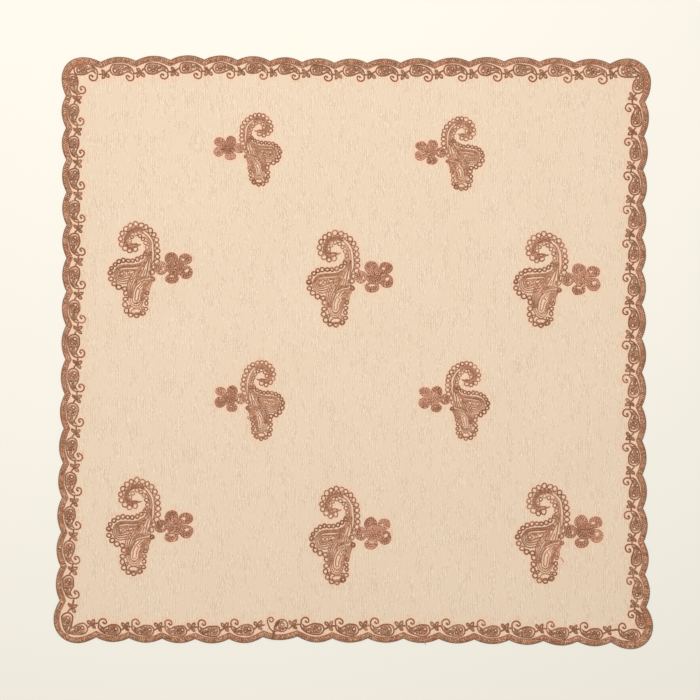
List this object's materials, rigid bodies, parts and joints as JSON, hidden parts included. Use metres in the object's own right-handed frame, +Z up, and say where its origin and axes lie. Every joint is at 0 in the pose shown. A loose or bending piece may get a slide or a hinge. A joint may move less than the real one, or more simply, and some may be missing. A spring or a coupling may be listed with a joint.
{
  "type": "embroidered bandana",
  "caption": "Square crepe bandana lying flat, with a scalloped embroidered border and paisley sprigs worked on the field.",
  "frame": {"origin": "middle of the cloth's outline box, on the surface that it lies on", "axes": "+Z up, through the cloth; +X towards the right-hand edge, along the slightly longer side; +Y towards the top edge"},
  "size_m": [0.5992, 0.5936, 0.0018],
  "materials": {
    "crepe": "matt crepe, sheer and finely crinkled",
    "embroidery_thread": "copper brown embroidery thread with a soft sheen"
  },
  "bodies": {
    "root": {"cloth": "crepe"}
  },
  "joints": []
}
